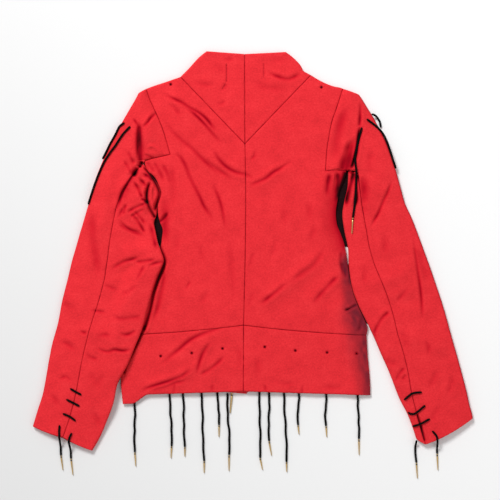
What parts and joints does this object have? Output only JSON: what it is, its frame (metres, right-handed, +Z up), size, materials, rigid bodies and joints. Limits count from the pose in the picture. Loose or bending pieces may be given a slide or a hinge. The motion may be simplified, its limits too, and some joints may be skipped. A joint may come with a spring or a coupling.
{
  "type": "arming doublet",
  "caption": "Padded cotton doublet laid flat with its back up: collar with a V yoke, waist seam and short skirt, two-piece sleeves, laces with metal aglets.",
  "frame": {"origin": "under the middle of the cloth's box, on the surface that the doublet lies on", "axes": "+X to the viewer's right across the sleeves, +Y towards the collar, +Z up, out of the back"},
  "size_m": [0.856, 0.8316, 0.0261],
  "materials": {
    "cotton_back": "red cotton canvas, padded",
    "cotton_front": "red cotton canvas, padded",
    "lace": "black braided cotton lace",
    "aglet": "crimped sheet brass"
  },
  "bodies": {
    "root": {"collar_left": "cotton_back", "collar_right": "cotton_back", "back_left": "cotton_back", "back_right": "cotton_back", "skirt_back_left": "cotton_back", "skirt_back_right": "cotton_back", "front_left": "cotton_front", "front_right": "cotton_front", "skirt_front_left": "cotton_front", "skirt_front_right": "cotton_front", "sleeve_left_outer": "cotton_back", "sleeve_left_inner": "cotton_back", "sleeve_right_outer": "cotton_back", "sleeve_right_inner": "cotton_back", "hem_lace_01": "lace", "hem_lace_02": "lace", "hem_lace_03": "lace", "hem_lace_04": "lace", "hem_lace_05": "lace", "hem_lace_06": "lace", "hem_lace_07": "lace", "hem_lace_08": "lace", "hem_lace_09": "lace", "hem_lace_10": "lace", "hem_lace_11": "lace", "hem_lace_12": "lace", "hem_aglet_01": "aglet", "hem_aglet_02": "aglet", "hem_aglet_03": "aglet", "hem_aglet_04": "aglet", "hem_aglet_05": "aglet", "hem_aglet_06": "aglet", "hem_aglet_07": "aglet", "hem_aglet_08": "aglet", "hem_aglet_09": "aglet", "hem_aglet_10": "aglet", "hem_aglet_11": "aglet", "hem_aglet_12": "aglet", "hem_aglet_loose": "aglet", "cuff_bar_left_1": "lace", "cuff_bar_left_2": "lace", "cuff_bar_left_3": "lace", "cuff_bar_right_1": "lace", "cuff_bar_right_2": "lace", "cuff_bar_right_3": "lace", "cuff_lace_left_1": "lace", "cuff_lace_left_2": "lace", "cuff_lace_right_1": "lace", "cuff_lace_right_2": "lace", "cuff_aglet_left_1": "aglet", "cuff_aglet_left_2": "aglet", "cuff_aglet_right_1": "aglet", "cuff_aglet_right_2": "aglet", "shoulder_lace_left_1": "lace", "shoulder_lace_left_2": "lace", "shoulder_lace_right_1": "lace", "shoulder_lace_right_2": "lace", "underarm_lace": "lace", "underarm_aglet": "aglet"}
  },
  "joints": []
}
